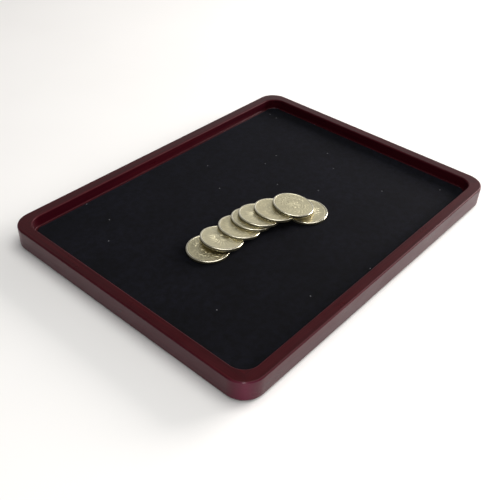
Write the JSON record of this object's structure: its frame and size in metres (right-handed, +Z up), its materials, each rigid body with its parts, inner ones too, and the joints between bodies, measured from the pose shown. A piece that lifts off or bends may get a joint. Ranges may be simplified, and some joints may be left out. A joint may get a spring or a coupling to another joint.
{
  "type": "coin display tray",
  "caption": "Shallow rectangular display tray with a glossy lacquered wooden frame, rounded corners and a dark velour bed, holding a fan of loose coins.",
  "frame": {"origin": "on the supporting surface, under the middle of the tray", "axes": "+X along the long side, +Y along the short side towards the back rail, +Z up"},
  "size_m": [0.225, 0.173, 0.0156],
  "materials": {
    "lacquered_wood": "dark mahogany-red stained hardwood under rubbed-out gloss lacquer",
    "spline_wood": "bare glued hardwood",
    "plywood": "bare sanded birch plywood",
    "pin_steel": "bright drawn steel",
    "velour": "black short-pile velour",
    "foot_felt": "black pressed felt",
    "coin_metal": "struck cupro-nickel with a warm, slightly yellow tone"
  },
  "bodies": {
    "tray": {"rail_front": "lacquered_wood", "rail_back": "lacquered_wood", "rail_left": "lacquered_wood", "rail_right": "lacquered_wood", "mitre_spline_front_left": "spline_wood", "mitre_spline_front_right": "spline_wood", "mitre_spline_back_left": "spline_wood", "mitre_spline_back_right": "spline_wood", "base_board": "plywood", "base_pins": "pin_steel", "infill_board": "plywood", "velour_lining": "velour", "foot_front_left": "foot_felt", "foot_front_right": "foot_felt", "foot_back_left": "foot_felt", "foot_back_right": "foot_felt"},
    "coin_1_body": {"coin_1": "coin_metal"},
    "coin_2_body": {"coin_2": "coin_metal"},
    "coin_3_body": {"coin_3": "coin_metal"},
    "coin_4_body": {"coin_4": "coin_metal"},
    "coin_5_body": {"coin_5": "coin_metal"},
    "coin_6_body": {"coin_6": "coin_metal"},
    "coin_7_body": {"coin_7": "coin_metal"},
    "coin_8_body": {"coin_8": "coin_metal"}
  },
  "joints": [
    {"name": "coin_1_lift", "type": "slide", "parent": "tray", "child": "coin_1_body", "axis": [0, 0, 1], "range_m": [0, 0.02]},
    {"name": "coin_2_lift", "type": "slide", "parent": "coin_1_body", "child": "coin_2_body", "axis": [0, 0, 1], "range_m": [0, 0.02]},
    {"name": "coin_3_lift", "type": "slide", "parent": "coin_2_body", "child": "coin_3_body", "axis": [0, 0, 1], "range_m": [0, 0.02]},
    {"name": "coin_4_lift", "type": "slide", "parent": "coin_3_body", "child": "coin_4_body", "axis": [0, 0, 1], "range_m": [0, 0.02]},
    {"name": "coin_5_lift", "type": "slide", "parent": "coin_4_body", "child": "coin_5_body", "axis": [0, 0, 1], "range_m": [0, 0.02]},
    {"name": "coin_6_lift", "type": "slide", "parent": "coin_5_body", "child": "coin_6_body", "axis": [0, 0, 1], "range_m": [0, 0.02]},
    {"name": "coin_7_lift", "type": "slide", "parent": "coin_6_body", "child": "coin_7_body", "axis": [0, 0, 1], "range_m": [0, 0.02]},
    {"name": "coin_8_slide", "type": "slide", "parent": "tray", "child": "coin_8_body", "axis": [1, 0, 0], "range_m": [0, 0.06]}
  ]
}
